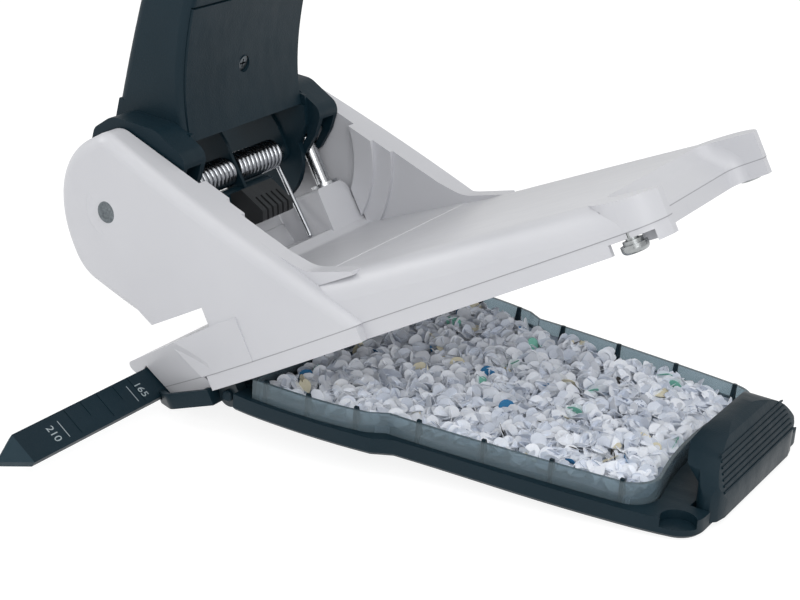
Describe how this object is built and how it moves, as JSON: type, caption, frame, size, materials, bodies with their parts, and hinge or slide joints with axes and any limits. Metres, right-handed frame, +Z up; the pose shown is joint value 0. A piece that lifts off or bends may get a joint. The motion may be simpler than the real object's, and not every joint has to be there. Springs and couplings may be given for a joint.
{
  "type": "hole punch",
  "caption": "Heavy-duty manual lever hole punch with hinged chip tray swung open, sprung lever, steel punches and a sliding paper guide rail.",
  "frame": {"origin": "centre of the slanted front rest face, on the floor, in the machine's mid plane", "axes": "+X to the user's right along the punch line, +Y rearward toward the tray's grip, +Z up; rest pose is tray swung open"},
  "size_m": [0.1908, 0.245, 0.2418],
  "materials": {
    "grey_shell": "satin moulded",
    "anthracite": "fine-grained moulded",
    "soft_grip": "soft-touch",
    "rubber": "dull",
    "smoke": "translucent smoke tint",
    "steel": "ground",
    "spring_wire": "bright drawn",
    "zinc": "bright zinc",
    "rail_tip": "smooth"
  },
  "bodies": {
    "machine": {"housing": "grey_shell", "base_frame": "grey_shell", "front_pan": "anthracite", "die_plate": "steel", "guide_bush_left": "steel", "guide_bush_right": "steel", "pivot_pin_left": "steel", "pivot_pin_right": "steel", "latch_screws": "zinc", "chip_chute": "anthracite", "chute_screws": "zinc", "rail_clip": "steel"},
    "lever": {"lever_body": "anthracite", "lever_panel": "anthracite", "panel_screw": "zinc", "handle_grip": "soft_grip", "stop_block": "rubber", "spring_rod": "steel", "spring_sleeves": "rubber", "torsion_spring_left": "spring_wire", "torsion_spring_right": "spring_wire"},
    "punch_left": {"punch_left": "steel", "cross_pin_left": "steel"},
    "punch_right": {"punch_right": "steel", "cross_pin_right": "steel"},
    "rail": {"guide_rail": "anthracite", "rail_tip": "rail_tip"},
    "tray": {"tray_base": "anthracite", "tray_bin": "smoke", "tray_grip": "anthracite", "hinge_pins": "steel"}
  },
  "joints": [
    {"name": "tray_hinge", "type": "hinge", "parent": "machine", "child": "tray", "pos_m": [0, 0.02696, 0.01472], "axis": [1, 0, 0], "range_deg": [0, 30.6]},
    {"name": "lever_pivot", "type": "hinge", "parent": "machine", "child": "lever", "pos_m": [0, -0.02396, 0.07023], "axis": [-1, 0, 0], "range_deg": [0, 40], "stiffness_Nm_per_rad": 0.8, "springref_deg": -22.92, "deforming": ["torsion_spring_left", "torsion_spring_right"]},
    {"name": "punch_left_slide", "type": "slide", "parent": "machine", "child": "punch_left", "axis": [0, 0.4462, -0.8949], "range_m": [0, 0.0108]},
    {"name": "punch_right_slide", "type": "slide", "parent": "machine", "child": "punch_right", "axis": [0, 0.4462, -0.8949], "range_m": [0, 0.0108]},
    {"name": "rail_slide", "type": "slide", "parent": "machine", "child": "rail", "axis": [1, 0, 0], "range_m": [-0.06, 0]}
  ],
  "couplings": [
    {"joint": "punch_left_slide", "follows": "lever_pivot", "m_per_rad": 0.01533},
    {"joint": "punch_right_slide", "follows": "lever_pivot", "m_per_rad": 0.01533}
  ]
}
